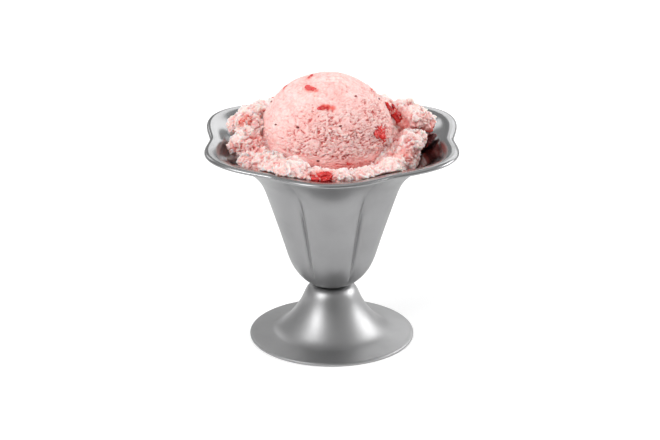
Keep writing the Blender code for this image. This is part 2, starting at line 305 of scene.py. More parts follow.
def closed_rows(points: Array, first: Any, last: Any) -> Shape:
    """Join rings of points, given as rows by columns, and close both ends at a pole.

    Args:
        points: Points as rows by columns by three.
        first: Pole before the first row.
        last: Pole after the last.

    Returns:
        The closed shape.
    """
    rows, columns = points.shape[:2]
    row, column = np.meshgrid(np.arange(rows - 1), np.arange(columns), indexing="ij")
    beside = (column + 1) % columns
    corners = [row * columns + column, row * columns + beside]
    corners += [(row + 1) * columns + beside, (row + 1) * columns + column]
    quads = np.stack([corner.ravel() for corner in corners], axis=1)
    around = np.arange(columns)
    after = (around + 1) % columns
    top, bottom = rows * columns, rows * columns + 1
    last_row = (rows - 1) * columns
    fans = [np.stack([np.full(columns, top), after, around], axis=1)]
    fans += [np.stack([np.full(columns, bottom), last_row + around, last_row + after], axis=1)]
    every = np.concatenate([points.reshape(-1, 3), [first], [last]])
    return Shape(every, quads, np.concatenate(fans)).outwards()


def make_object(name: str, shape: Shape, smooth: bool = True) -> bpy.types.Object:
    """Make a Blender object at the origin from a shape in millimetres.

    Args:
        name: Name of the object and its mesh.
        shape: Its points, faces and values.
        smooth: Whether it is shaded smooth.

    Returns:
        The object, linked to the scene.
    """
    mesh = bpy.data.meshes.new(name)
    counts = np.concatenate([np.full(len(shape.quads), 4), np.full(len(shape.triangles), 3)])
    corners = np.concatenate([shape.quads.ravel(), shape.triangles.ravel()])
    starts = np.concatenate([[0], np.cumsum(counts)[:-1]])
    mesh.vertices.add(len(shape.points))
    mesh.vertices.foreach_set("co", (shape.points * MM).astype(np.float32).ravel())
    mesh.loops.add(len(corners))
    mesh.loops.foreach_set("vertex_index", corners.astype(np.int32))
    mesh.polygons.add(len(counts))
    mesh.polygons.foreach_set("loop_start", starts.astype(np.int32))
    mesh.update(calc_edges=True)
    mesh.validate()
    for key, numbers in shape.values.items():
        layer = mesh.attributes.new(key, "FLOAT", "POINT")
        layer.data.foreach_set("value", numbers.astype(np.float32))
    if smooth:
        mesh.shade_smooth()
    made = bpy.data.objects.new(name, mesh)
    bpy.context.scene.collection.objects.link(made)
    return made


class Wire:
    """A node's output that takes part in plain arithmetic."""

    def __init__(self, graph: "Graph", socket: bpy.types.NodeSocket) -> None:
        """Keep the graph and the socket."""
        self.graph = graph
        self.socket = socket

    def _math(self, kind: str, one: Any, two: Any) -> "Wire":
        """Add one Math node."""
        return self.graph.node("ShaderNodeMath", {"operation": kind}, {0: one, 1: two})

    def __add__(self, other: Any) -> "Wire":
        """Sum."""
        return self._math("ADD", self, other)

    def __radd__(self, other: Any) -> "Wire":
        """Sum, reflected."""
        return self._math("ADD", other, self)

    def __sub__(self, other: Any) -> "Wire":
        """Difference."""
        return self._math("SUBTRACT", self, other)

    def __rsub__(self, other: Any) -> "Wire":
        """Difference, reflected."""
        return self._math("SUBTRACT", other, self)

    def __mul__(self, other: Any) -> "Wire":
        """Product."""
        return self._math("MULTIPLY", self, other)

    def __rmul__(self, other: Any) -> "Wire":
        """Product, reflected."""
        return self._math("MULTIPLY", other, self)

    def between(self, low: float, high: float) -> "Wire":
        """Go smoothly from 0 where the value is low to 1 where it is high.

        Args:
            low: Value that gives 0.
            high: Value that gives 1.

        Returns:
            The share.
        """
        settings = {"interpolation_type": "SMOOTHSTEP"}
        sockets = {"Value": self, "From Min": low, "From Max": high}
        return self.graph.node("ShaderNodeMapRange", settings, sockets)


class Graph:
    """The nodes of a material or of the world, made by one method."""

    def __init__(
        self, owner: bpy.types.Material | bpy.types.World, shader: str = "Principled BSDF"
    ) -> None:
        """Start from the owner's own nodes.

        Args:
            owner: The material or world whose nodes these are.
            shader: Name of the shader node that it starts with.
        """
        owner.use_nodes = True
        self.tree = owner.node_tree
        self.shader = self.tree.nodes[shader]

    def node(
        self, kind: str, settings: dict[str, Any], sockets: dict[Any, Any], out: Any = 0
    ) -> Wire:
        """Add a node.

        Args:
            kind: Blender's name for the node's type.
            settings: Properties, set first; "stops" holds a ramp's positions and colours.
            sockets: Values or wires for its inputs, by name or number.
            out: The output to return, by name or number.

        Returns:
            The output as a wire.
        """
        made = self.tree.nodes.new(kind)
        for key, value in settings.items():
            if key == "stops":
                self._set_stops(made.color_ramp, value)
            else:
                setattr(made, key, value)
        for key, value in sockets.items():
            self.put(made.inputs[key], value)
        return Wire(self, made.outputs[out])

    def _set_stops(self, ramp: Any, stops: Any) -> None:
        """Give a ramp its stops.

        Args:
            ramp: The node's ramp, which starts with two stops.
            stops: Pairs of position and colour.
        """
        while len(ramp.elements) < len(stops):
            ramp.elements.new(1.0)
        for element, (position, colour) in zip(ramp.elements, stops):
            element.position = position
            element.color = (*colour, 1.0)

    def put(self, socket: bpy.types.NodeSocket, value: Any) -> None:
        """Link a wire to an input, or set the input to a value.

        Args:
            socket: The input.
            value: A wire, a number, a colour or a vector.
        """
        if isinstance(value, Wire):
            self.tree.links.new(value.socket, socket)
        elif isinstance(value, tuple) and socket.type == "RGBA":
            socket.default_value = (*value, 1.0)
        else:
            socket.default_value = value

    def set(self, **sockets: Any) -> None:
        """Fill the shader's inputs, named with an underscore for each space."""
        for key, value in sockets.items():
            self.put(self.shader.inputs[key.replace("_", " ")], value)

    def place(self, stretch: Colour = (1.0, 1.0, 1.0)) -> Wire:
        """Object coordinates, stretched along each axis."""
        where = self.node("ShaderNodeTexCoord", {}, {}, "Object")
        return self.node("ShaderNodeVectorMath", {"operation": "MULTIPLY"}, {0: where, 1: stretch})

    def noise(self, size: float, detail: float = 3.0, stretch: Colour = (1.0, 1.0, 1.0)) -> Wire:
        """Noise with features about size metres across, from 0 to 1."""
        sockets = {"Vector": self.place(stretch), "Scale": 1.0 / size, "Detail": detail}
        return self.node("ShaderNodeTexNoise", {}, sockets, "Fac")

    def value(self, name: str) -> Wire:
        """A value that the mesh holds at each point."""
        return self.node("ShaderNodeAttribute", {"attribute_name": name}, {}, "Fac")

    def mix(self, amount: Any, one: Any, two: Any) -> Wire:
        """Blend two colours."""
        return self.node("ShaderNodeMix", {"data_type": "RGBA"}, {0: amount, 6: one, 7: two}, 2)

    def bump(self, height: Wire, depth: float, strength: float = 1.0) -> Wire:
        """Normals of a relief that is depth metres deep."""
        sockets = {"Height": height, "Distance": depth, "Strength": strength}
        return self.node("ShaderNodeBump", {}, sockets, "Normal")


@dataclass(frozen=True)
class SteelFinish:
    """Stainless steel: brushed round the piece, and polished where it says so. Its tone is darker
    than real steel, painted shade that stands in for the dim surroundings it reflects.
    """

    name: str
    # Painted shade: darker than real steel, for the dim surroundings that it reflects.
    tone: Colour = (0.32, 0.32, 0.324)
    satin: float = 0.41
    polished: float = 0.17
    line_size: float = 0.00045
    line_depth: float = 0.000002

    def make(self, has_polish: bool) -> bpy.types.Material:
        """Build the material.

        Args:
            has_polish: Whether the mesh holds a value "polish", 1 where it is polished.

        Returns:
            The finished material.
        """
        material = bpy.data.materials.new(self.name)
        graph = Graph(material)
        lines = graph.noise(self.line_size, 2.0, (0.06, 0.06, 1.0)) + 7.0 * graph.noise(0.0055, 2.0)
        smudge = graph.noise(0.014, 4.0).between(0.35, 0.75)
        rough = self.satin + 0.05 * smudge
        if has_polish:
            polish = graph.value("polish")
            rough = rough * (1.0 - polish) + (self.polished + 0.05 * smudge) * polish
        dull = tuple(part * 0.93 for part in self.tone)
        graph.set(
            Base_Color=graph.mix(smudge, self.tone, dull),
            Metallic=1.0,
            Roughness=rough,
            Normal=graph.bump(lines, self.line_depth),
        )
        return material


@dataclass(frozen=True)
class CreamFinish:
    """Strawberry ice cream: pale pink, with painted shade that makes it pinker and darker in its
    pits and painted highlight that makes its tips paler, redder near the fruit, and a painted
    shadow, near black, where the juice value passes 1.
    """

    name: str
    # The tip colour is partly the paler frost on the tips and partly painted highlight; pink and
    # deep are painted shade for the pits.
    tip_frost_and_highlight: Colour = (0.965, 0.78, 0.74)
    pale: Colour = (0.94, 0.63, 0.60)
    pink: Colour = (0.87, 0.45, 0.42)
    deep: Colour = (0.66, 0.15, 0.135)
    juice: Colour = (0.80, 0.115, 0.085)
    # Painted shadow: near black, used where the juice value passes 1.
    painted_shadow_tone: Colour = (0.08, 0.012, 0.012)
    glow: float = 0.4
    glow_reach: float = 0.0018

    def make(self) -> bpy.types.Material:
        """Build the material, which reads two values of the mesh: the painted pit shade with its
        tone, and the juice.
        """
        material = bpy.data.materials.new(self.name)
        graph = Graph(material)
        cloud = graph.noise(0.009, 4.0)
        grain = graph.noise(0.0011, 3.0)
        # Painted shade and highlight: the pit value, with random tone from the noise, picks the
        # colour on the ramp below.
        pit = graph.value("pit") + 0.25 * (grain - 0.5) + 0.5 * (cloud - 0.5)
        stain = graph.value("juice") * (0.45 + graph.noise(0.003, 4.0)) + 0.25 * (grain - 0.5)
        stops = ((0.08, self.tip_frost_and_highlight), (0.36, self.pale), (0.64, self.pink), (0.98, self.deep))
        colour = graph.node("ShaderNodeValToRGB", {"stops": stops}, {"Fac": pit})
        colour = graph.mix(stain.between(0.12, 0.9), colour, self.juice)
        # Painted shadow: where the juice value passes 1 the colour goes near black.
        colour = graph.mix(graph.value("juice").between(1.0, 1.3), colour, self.painted_shadow_tone)
        relief = graph.noise(0.0006, 3.0) + 0.6 * graph.noise(0.00028, 2.0)
        graph.set(
            Base_Color=colour,
            Roughness=0.42 + 0.25 * grain,
            Normal=graph.bump(relief, 0.0002, 0.9),
            Subsurface_Weight=self.glow,
            Subsurface_Radius=(1.0, 0.45, 0.35),
            Subsurface_Scale=self.glow_reach,
            Specular_IOR_Level=0.3,
        )
        return material


@dataclass(frozen=True)
class FleshFinish:
    """Wet strawberry flesh: deep red to bright, with paler veins and streaks of cream."""

    name: str
    deep: Colour = (0.46, 0.010, 0.012)
    bright: Colour = (0.80, 0.045, 0.040)
    pale: Colour = (0.88, 0.22, 0.18)
    cream: Colour = (0.93, 0.55, 0.50)
    cream_share: float = 0.59

    def make(self) -> bpy.types.Material:
        """Build the material."""
        material = bpy.data.materials.new(self.name)
        graph = Graph(material)
        cloud = graph.noise(0.0032, 4.0).between(0.36, 0.62)
        vein = graph.noise(0.0014, 4.0).between(0.58, 0.80)
        smear = graph.noise(0.0024, 5.0, (1.3, 1.3, 0.9))
        smear = smear.between(self.cream_share, self.cream_share + 0.12)
        colour = graph.mix(cloud, self.deep, self.bright)
        colour = graph.mix(vein, colour, self.pale)
        colour = graph.mix(smear, colour, self.cream)
        relief = graph.noise(0.0009, 4.0)
        graph.set(
            Base_Color=colour,
            Roughness=0.24 + 0.25 * smear,
            Normal=graph.bump(relief, 0.00022, 0.9),
            Subsurface_Weight=0.25,
            Subsurface_Radius=(1.0, 0.2, 0.15),
            Subsurface_Scale=0.0012,
        )
        return material


@dataclass(frozen=True)
class SeedFinish:
    """Strawberry seeds in ice cream: dark reddish brown."""

    name: str
    tone: Colour = (0.075, 0.012, 0.012)
    light: Colour = (0.26, 0.03, 0.025)

    def make(self) -> bpy.types.Material:
        """Build the material."""
        material = bpy.data.materials.new(self.name)
        graph = Graph(material)
        patch = graph.noise(0.0012, 2.0).between(0.35, 0.65)
        graph.set(Base_Color=graph.mix(patch, self.tone, self.light), Roughness=0.4)
        return material


@dataclass
class Flutes:
    """Six round lobes pressed into the bowl: creases on its body, a wave at its rim."""

    lobes: int = 6
    heights: tuple[float, ...] = (24.0, 27.0, 34.0, 50.0, 75.0, 89.5)
    shares: tuple[float, ...] = (0.0, 0.015, 0.066, 0.090, 0.106, 0.108)
    crease_power: float = 2.5
    wave_power: float = 1.6
    wave_start: float = 62.0
    wave_full: float = 88.0
    notch_drop: float = 0.9
    groove: float = 0.044
    groove_width: float = 0.075
    groove_heights: tuple[float, float, float, float] = (28.0, 38.0, 58.0, 74.0)

    def _across(self, bearing: Array) -> Array:
        """Share of the way from the nearest lobe's middle, 0, to its notch, 1."""
        half = 180.0 / self.lobes
        return np.abs((bearing + half) % (2 * half) - half) / half

    def _wave(self, bearing: Array) -> tuple[Array, Array]:
        """Crease and wave depth, both 0 in a lobe's middle and 1 in a notch.

        Args:
            bearing: Degrees.

        Returns:
            The two depths.
        """
        across = self._across(bearing)
        wave = 1 - np.abs(np.cos(across * math.pi / 2)) ** self.wave_power
        return across**self.crease_power, wave

    def factor(self, bearing: Array, height: Array) -> Array:
        """Share of the lobe's radius that is left at a bearing and height.

        Args:
            bearing: Degrees.
            height: Millimetres.

        Returns:
            Factor for the radius.
        """
        crease, wave = self._wave(bearing)
        opened = rise(height, self.wave_start, self.wave_full)
        share = np.interp(height, self.heights, self.shares)
        return 1 - share * (crease + (wave - crease) * opened) - self._groove(bearing, height)

    def _groove(self, bearing: Array, height: Array) -> Array:
        """Sharp fold at the bottom of each crease: a bell of the bearing, faded at both ends.

        Args:
            bearing: Degrees.
            height: Millimetres.

        Returns:
            Share of the radius that it takes away.
        """
        off = 1 - self._across(bearing)
        low, full, still, gone = self.groove_heights
        there = rise(height, low, full) * rise(height, gone, still)
        return self.groove * there * np.exp(-((off / self.groove_width) ** 2))

    def press(self, points: Array) -> Array:
        """Move points in by the factor, and lower the rim a little in each notch.

        Args:
            points: Rows on the plain turned bowl.

        Returns:
            The pressed rows.
        """
        bearing, height = bearing_of(points), points[:, 2]
        moved = points * self.factor(bearing, height)[:, None]
        opened = rise(height, self.wave_start, self.wave_full)
        moved[:, 2] = height - self.notch_drop * self._wave(bearing)[1] * opened
        return moved


@dataclass
class TulipBowl:
    """The fluted bowl of sheet steel with its curled lip."""

    sheet: float = 0.9
    columns: int = 348
    gathered: float = 5.2
    flat: tuple[Station, Station] = ((0.0, 24.15), (7.0, 24.2))
    side: tuple[Station, ...] = (
        (7.0, 24.2), (8.6, 24.6), (11.7, 26.5), (15.0, 30.0), (18.0, 35.0), (20.5, 42.0),
        (25.8, 58.0), (28.6, 66.0), (31.2, 72.0), (35.0, 77.0), (39.8, 81.0), (45.6, 84.7),
        (48.8, 86.9), (51.0, 88.2), (52.8, 89.0), (54.2, 89.35), (55.4, 89.45),
    )
    lip: tuple[Station, ...] = (
        (55.4, 89.45), (56.0, 89.35), (56.4, 89.05), (56.8, 88.82), (57.2, 88.95), (57.36, 89.4),
        (57.1, 89.95), (56.4, 90.3), (55.4, 90.42),
    )
    side_rows: int = 84
    flat_rows: int = 4
    lip_rows: int = 22
    flutes: Flutes = field(default_factory=Flutes)
    finish: SteelFinish = SteelFinish("steel_bowl")

    def outer_side(self) -> Array:
        """Outer side from the bottom's middle to the lip."""
        base = straight_line(*self.flat, self.flat_rows)
        return np.concatenate([base, cubic_line(self.side, self.side_rows)])

    def inner_side(self) -> Array:
        """Outer side moved in by the sheet's thickness along its normal, from the bottom up."""
        moved = moved_over(self.outer_side(), self.sheet)
        return moved[(moved[:, 0] > 0) | (np.arange(len(moved)) == 0)]

    def inner_radius(self, bearing: Array, height: Array) -> Array:
        """Radius of the inside wall at a bearing and height.

        Args:
            bearing: Degrees.
            height: Millimetres.

        Returns:
            Radius in millimetres.
        """
        line = self.inner_side()[self.flat_rows :]
        radius = np.interp(height, line[:, 1], line[:, 0])
        return radius * self.flutes.factor(bearing, height)

    def shape(self) -> Shape:
        """Turn the closed line up the outside, round the lip and down the inside, and press it."""
        outer, inner = self.outer_side(), self.inner_side()[::-1]
        lip = cubic_line(self.lip, self.lip_rows)[1:-1]
        middle = np.array([[0.0, inner[-1, 1]]])
        line = np.concatenate([outer, lip, inner[:-1], middle])
        parts = [np.zeros(len(outer)), np.linspace(0.2, 1, len(lip)), np.ones(len(inner))]
        polish = np.concatenate(parts)
        made = turned(line, self.columns, self.gathered)
        made.points = self.flutes.press(made.points)
        rows = np.repeat(polish[1:-1], self.columns)
        made.values = {"polish": np.concatenate([rows, polish[[0]], polish[[-1]]])}
        return made.outwards()

    def build(self) -> bpy.types.Object:
        """Make the bowl and dress it."""
        made = make_object("bowl", self.shape())
        return dressed(made, self.finish.make(True), "dish_bowl")


@dataclass
class TrumpetFoot:
    """The turned foot, open below."""

    sheet: float = 0.9
    columns: int = 240
    rows: int = 90
    cap_rows: int = 5
    edge_rows: int = 26
    cap: tuple[Station, Station] = ((0.0, 23.78), (7.2, 23.72))
    side: tuple[Station, ...] = (
        (7.2, 23.72), (8.7, 23.15), (10.75, 21.0), (12.1, 18.0), (15.4, 12.0), (20.2, 6.2),
        (23.1, 3.75), (24.6, 3.0), (26.2, 2.6), (30.0, 2.0), (33.2, 1.5),
    )
    edge: tuple[Station, ...] = (
        (33.2, 1.5), (34.55, 1.25), (34.85, 1.0), (34.9, 0.5), (34.75, 0.08), (34.35, 0.08),
        (34.1, 0.3), (33.3, 0.68),
    )
    # Painted light: the foot's steel is given a lighter tone than the bowl's, so that it reads
    # lighter.
    finish: SteelFinish = SteelFinish(
        "steel_foot", tone=(0.39, 0.39, 0.394), satin=0.42, line_depth=0.000001
    )

    def shape(self) -> Shape:
        """Turn the line from the cap down the outside, round the edge and up the inside."""
        side = cubic_line(self.side, self.rows)
        inside = moved_over(side, -self.sheet)[::-1]
        under_cap = inside[:, 1] < self.cap[1][1] - self.sheet
        inside = inside[(inside[:, 0] < self.edge[-1][0]) & under_cap]
        cap = straight_line(*self.cap, self.cap_rows)
        edge = cubic_line(self.edge, self.edge_rows)[1:-1]
        middle = np.array([[0.0, self.cap[0][1] - self.sheet]])
        return turned(np.concatenate([cap, side, edge, inside, middle]), self.columns)

    def build(self) -> bpy.types.Object:
        """Make the foot and dress it."""
        made = make_object("foot", self.shape())
        return dressed(made, self.finish.make(False), "dish_foot")


@dataclass(frozen=True)
class Stain:
    """A place where strawberry juice has coloured the ice cream; a stain stronger than 1 paints a
    near-black shadow.
    """

    spot: Triple
    reach: float
    strength: float


def juice_at(points: Array, stains: list[Stain]) -> Array:
    """Strongest stain at each point: strength times a bell of the distance over reach.

    Args:
        points: Rows of x, y, z.
        stains: The stains.

    Returns:
        One value for each row, 0 where there is no juice.
    """
    total = np.zeros(len(points))
    for stain in stains:
        away = ((points - np.array(stain.spot)) ** 2).sum(1) / stain.reach**2
        total = np.maximum(total, stain.strength * np.exp(-away))
    return total


@dataclass
class Scoop:
    """The ball of ice cream: smooth above, torn and pitted across its middle."""

    centre: Triple = (-1.9, 0.0, 88.9)
    radius: float = 28.2
    pressed: float = 0.62
    columns: int = 430
    shown_rows: int = 196
    lowest_shown: float = -14.0
    hidden_rows: int = 14
    crown_edge: Station = (58.0, 34.0)
    skirt_edge: Station = (2.0, 5.5)
    left_edge: Station = (-75.0, 0.0)
    right_edge: Station = (128.0, 96.0)
    back_middle: float = 165.0
    back_edge: Station = (34.0, 18.0)
    back_strength: float = 0.9
    crack_depths: tuple[float, float, float, float] = (0.42, 0.50, 0.36, 0.62)
    # The two skirt values below paint shade on the ball's lowest band.
    skirt_shade_fade: Station = (5.0, -6.0)
    skirt_painted_shade: float = 0.34
    noise: Noise = field(default_factory=lambda: Noise(3))
    finish: CreamFinish = CreamFinish("scoop_cream")

    def spot(self, bearing: float, elevation: float, out: float = 0.0) -> Array:
        """A point on the ball, moved out by some millimetres."""
        return np.array(self.centre) + direction(bearing, elevation) * (self.radius + out)

    def rough_share(self, bearing: Array, elevation: Array, ways: Array) -> Array:
        """How torn the surface is: most between the smooth crown and the smooth skirt.

        A band over elevations, faded towards the left of the front, with both
        edges moved by noise, and a second band round the back.

        Args:
            bearing: Degrees.
            elevation: Degrees.
            ways: The same places as unit vectors.

        Returns:
            Shares from 0 to 1.
        """
        wander = 9.0 * self.noise.layered(ways + 5.0, 0.5, 3)
        high = rise(elevation + wander, *self.crown_edge)
        low = rise(elevation + 0.25 * wander + 0.05 * bearing, *self.skirt_edge)
        front = rise(bearing + 1.6 * wander, *self.left_edge)
        front = front * rise(bearing + wander, *self.right_edge)
        back = rise(np.abs(np.abs(bearing) - self.back_middle) + wander, *self.back_edge)
        return high * low * np.maximum(front, self.back_strength * back)

    def relief(self, ways: Array) -> tuple[Array, Array]:
        """Height of the surface over the plain ball, and a value that paints shade: darker and
        pinker in the pits, paler on the raised plates.

        Broad swells everywhere; fine wrinkles that run round the ball where it is
        smooth; thin cracks of three sizes, round pits and grain where it is torn.

        Args:
            ways: Unit vectors from the ball's centre.

        Returns:
            Heights in millimetres, and painted pit shade from 0 to 1.
        """
        noise, at = self.noise, ways * self.radius
        rough = self.rough_share(bearing_of(ways), elevation_of(ways), ways)
        shift = noise.shifts(at, 3.2)
        flat = (at + 0.9 * shift) * np.array([0.66, 0.66, 1.2])
        swell = 0.34 * noise.smooth(at, 17.0) + 0.16 * noise.layered(at + 40.0, 6.5, 2)
        wrinkle = noise.ridged((at + 1.5 * shift) * np.array([0.2, 0.2, 1.0]) + 9.0, 2.0, 3)
        scales = noise.cracks(flat * 0.8 + 31.0, 3.2, 3)
        torn = noise.cracks(flat + 51.0, 1.7, 2)
        fine = noise.cracks(flat + 63.0, 0.95, 2)
        holes = rise(noise.nearest(flat, 1.3) + 0.25 * noise.smooth(at, 0.8), 0.42, 0.12)
        few = rise(noise.smooth(at + 77.0, 4.0), -0.1, 0.35)
        grain = noise.layered(at * np.array([0.8, 0.8, 1.1]) + 3.0, 1.0, 2)
        patch = 0.85 + 0.6 * noise.smooth(at + 90.0, 7.0)
        kinds = zip(self.crack_depths, (scales, torn, fine, holes))
        cracks = sum(depth * kind for depth, kind in kinds)
        rugged = patch * (0.27 + 0.42 * grain - cracks)
        calm = 0.08 - 0.26 * wrinkle + 0.12 * grain - 0.36 * holes * few - 0.18 * torn
        height = swell + rough * rugged + (1 - rough) * calm
        sunk = np.maximum(-rugged, 0) + 0.35 * np.minimum(-rugged, 0)
        # Painted shade: the pit value darkens and pinkens the cracks, holes and wrinkle troughs,
        # and pales the raised plates.
        pit = 0.37 + rough * (0.05 + 1.05 * sunk) - (1 - rough) * 0.8 * calm
        return height, pit

    def shape(self, stains: list[Stain]) -> Shape:
        """The ball as rows of elevation by columns of bearing, moved out by its relief.

        Args:
            stains: Where juice has coloured it.

        Returns:
            The ball, with its painted pit shade and its juice values.
        """
        shown = np.linspace(90, self.lowest_shown, self.shown_rows + 1)[1:]
        hidden = np.linspace(self.lowest_shown, -90, self.hidden_rows + 1)[1:-1]
        bearings = np.arange(self.columns) * 360.0 / self.columns
        elevation, bearing = np.meshgrid(np.concatenate([shown, hidden]), bearings, indexing="ij")
        rings = direction(bearing, elevation)
        made = closed_rows(rings, (0, 0, 1), (0, 0, -1))
        ways = made.points
        height, pit = self.relief(ways)
        # Painted shade: the ball's lowest band, below about 5 degrees, is drawn pinker and darker.
        skirt = rise(elevation_of(ways), *self.skirt_shade_fade)
        out = ways * (self.radius + height)[:, None]
        out[:, 2] *= np.where(out[:, 2] < 0, self.pressed, 1.0)
        made.points = out + np.array(self.centre)
        made.values = {"pit": pit + self.skirt_painted_shade * skirt, "juice": juice_at(made.points, stains)}
        return made

    def build(self, stains: list[Stain]) -> bpy.types.Object:
        """Make the ball and dress it."""
        made = make_object("scoop", self.shape(stains))
        return dressed(made, self.finish.make(), "ice_cream_scoop")

    def push_out(self, points: Array, inset: float) -> Array:
        """Move points that lie deep in the ball out to just under its surface.

        Args:
            points: Rows of x, y, z.
            inset: How far under the surface.

        Returns:
            The moved rows.
        """
        squash = np.where(points[:, 2] < self.centre[2], self.pressed, 1.0)
        off = points - np.array(self.centre)
        off[:, 2] /= squash
        away = np.linalg.norm(off, axis=1)
        off *= np.maximum(1.0, (self.radius - inset) / np.maximum(away, 1e-6))[:, None]
        off[:, 2] *= squash
        return off + np.array(self.centre)


@dataclass(frozen=True)
class Lump:
    """A large lump of the bed: where it lies, its radius and its height over its width."""

    bearing: float
    distance: float
    height: float
    radius: float
    share: float


class Half(Enum):
    """Halves of the bed, by the sign of Y."""

    FRONT = -1
    BACK = 1


@dataclass
class Bed:
    """The rough ice cream that fills the bowl and heaps up round the scoop."""

    line: tuple[Station, ...] = (
        (0.0, 84.0), (24.0, 85.0), (31.0, 86.6), (38.0, 87.6), (43.5, 88.0), (47.5, 86.0),
        (52.0, 80.0),
    )
    narrow: float = 0.18
    narrow_bearings: tuple[float, float] = (30.0, 58.0)
    right_share: float = 0.45
    right_edges: tuple[Station, Station] = ((34.0, 52.0), (104.0, 84.0))
    heap: float = 12.5
    heap_reach: tuple[float, float] = (45.0, 29.0)
    heap_bearings: tuple[float, float] = (36.0, 84.0)
    grain: float = 0.40
    cut: float = 77.0
    wall_gap: float = 0.3
    overlap: float = 0.6
    lump_share: float = 0.90
    back_spread: float = 0.20
    neck_reach: float = 13.0
    neck_share: float = 0.88
    neck_rise: float = 8.0
    neck_drop: float = 0.5
    cell: float = 2.0
    cells: int = 80
    # These two paint shade in the hollows between lumps, pinker and darker the deeper a point lies.
    hollow_shade_depths: Station = (1.2, 7.5)
    hollow_painted_shade: float = 0.17
    flare_height: float = 89.0
    small_lumps: int = 55
    small_radii: Station = (0.7, 1.8)
    small_way: float = 0.84
    crumbs: int = 900
    crumb_radii: Station = (0.2, 0.75)
    crumb_shares: Station = (0.5, 1.0)
    crumb_floor: float = 86.5
    crumb_clear: float = 1.2
    lumps: tuple[Lump, ...] = tuple(
        Lump(*numbers)
        for numbers in (
            (-114, 32.0, 95.6, 6.6, 0.85), (-98, 34.6, 97.6, 5.6, 0.90),
            (-96, 39.4, 93.4, 5.2, 0.90), (-84, 33.4, 96.4, 5.2, 0.80),
            (-72, 37.6, 90.4, 7.8, 0.80), (-59, 34.6, 88.4, 4.8, 0.80),
            (-56, 40.2, 86.8, 5.4, 0.90), (-43, 36.0, 88.4, 5.6, 0.80),
            (-37, 41.8, 87.8, 5.0, 0.80), (-25, 41.0, 89.4, 7.6, 0.62),
            (-13, 43.6, 88.2, 5.2, 0.62), (-6, 37.4, 86.6, 5.0, 0.55), (5, 43.8, 88.6, 4.8, 0.66),
            (12, 38.0, 86.2, 4.8, 0.60), (17, 43.4, 88.6, 4.8, 0.66), (27, 39.8, 86.4, 5.4, 0.62),
            (36, 41.6, 87.6, 4.6, 0.70), (43, 36.4, 86.6, 4.7, 0.78), (57, 35.6, 86.8, 4.7, 0.85),
            (67, 35.4, 91.8, 5.4, 0.85), (75, 33.0, 90.2, 5.2, 0.90), (79, 34.8, 91.2, 5.2, 0.90),
            # The low lump at bearing 97, distance 40.2, sits in a painted shadow that turns it near
            # black.
            (93, 27.6, 90.6, 4.6, 0.90), (96, 35.0, 96.6, 5.8, 0.90), (97, 40.2, 84.8, 4.8, 0.80),
            (99, 39.6, 94.4, 5.0, 0.80), (113, 33.0, 96.4, 6.4, 0.85), (127, 36.6, 90.6, 7.2, 0.85),
            (142, 32.0, 93.4, 6.8, 0.85), (154, 38.0, 91.8, 7.2, 0.80),
            (169, 32.4, 98.0, 7.0, 0.80), (-177, 38.6, 91.6, 7.0, 0.80),
            (-162, 32.4, 97.6, 6.8, 0.85), (-148, 37.6, 90.6, 7.2, 0.80),
            (-133, 32.4, 93.2, 7.0, 0.85), (-119, 38.4, 91.0, 6.0, 0.85),
        )
    )
    noise: Noise = field(default_factory=lambda: Noise(8))
    finish: CreamFinish = CreamFinish("bed_cream", glow=0.6, glow_reach=0.0028)

    def mound(self) -> Shape:
        """The plain mound: a turned line, narrowed and heaped up by bearing."""
        line = np.concatenate([cubic_line(self.line, 60), [[52.0, self.cut], [0.0, self.cut]]])
        made = turned(line, 180)
        points = made.points
        on_top = points[:, 2] > self.cut + 0.01
        bearing = bearing_of(points)
        beside = rise(np.abs(bearing), *self.heap_bearings) * on_top
        narrowed = rise(np.abs(bearing), *self.narrow_bearings)
        start, end = self.right_edges
        narrowed += self.right_share * rise(bearing, *start) * rise(bearing, *end)
        away = np.hypot(points[:, 0], points[:, 1])
        points[:, 2] += self.heap * rise(away, *self.heap_reach) * beside
        points[:, :2] *= (1 - self.narrow * narrowed)[:, None]
        return made

    def lump_shape(self, lump: Lump, number: int) -> Shape:
        """An uneven ball: every point of a sphere moved by broad noise and squashed.

        Args:
            lump: Its place and size.
            number: Number that gives it its own noise.

        Returns:
            The lump in its place.
        """
        made = ball(72, 36)
        shift = 13.0 * number
        swell = 1 + 0.20 * self.noise.smooth(made.points + shift, 0.8)
        swell += 0.12 * self.noise.ridged(made.points + shift, 0.6, 2)
        spread = 1 + self.back_spread * rise(abs(lump.bearing), 94.0, 115.0)
        sizes = self.lump_share * lump.radius * np.array([spread, spread, lump.share / spread])
        centre = direction(lump.bearing) * lump.distance + np.array([0, 0, lump.height])
        made.points = made.points * swell[:, None] * sizes + centre
        return made

    def necks(self) -> list[Lump]:
        """Lumps halfway between neighbours, which join them into one heap."""
        made = []
        for one, two in zip(self.lumps, self.lumps[1:] + self.lumps[:1]):
            ends = [direction(lump.bearing) * lump.distance for lump in (one, two)]
            near = np.linalg.norm(ends[0] - ends[1]) < self.neck_reach
            if near and abs(one.height - two.height) < self.neck_rise:
                middle = (ends[0] + ends[1]) / 2
                radius = self.neck_share * (one.radius + two.radius) / 2
                height = (one.height + two.height) / 2 - self.neck_drop
                bearing = float(bearing_of(middle[None])[0])
                made.append(Lump(bearing, float(np.linalg.norm(middle)), height, radius, 0.9))
        return made

    def small_shapes(self) -> list[Shape]:
        """Small lumps, set on the large ones by a seeded rule."""
        draw = np.random.default_rng(21)
        made = []
        for number in range(self.small_lumps):
            lump = self.lumps[draw.integers(len(self.lumps))]
            way = direction(lump.bearing + draw.uniform(-85, 85), draw.uniform(5, 75))
            centre = direction(lump.bearing) * lump.distance + np.array([0, 0, lump.height])
            centre = centre + way * np.array([1, 1, lump.share]) * lump.radius * self.small_way
            grown = ball(24, 12)
            swell = 1 + 0.35 * self.noise.smooth(grown.points + 5.0 * number, 0.7)
            grown.points = grown.points * swell[:, None] * draw.uniform(*self.small_radii) + centre
            made.append(grown)
        return made

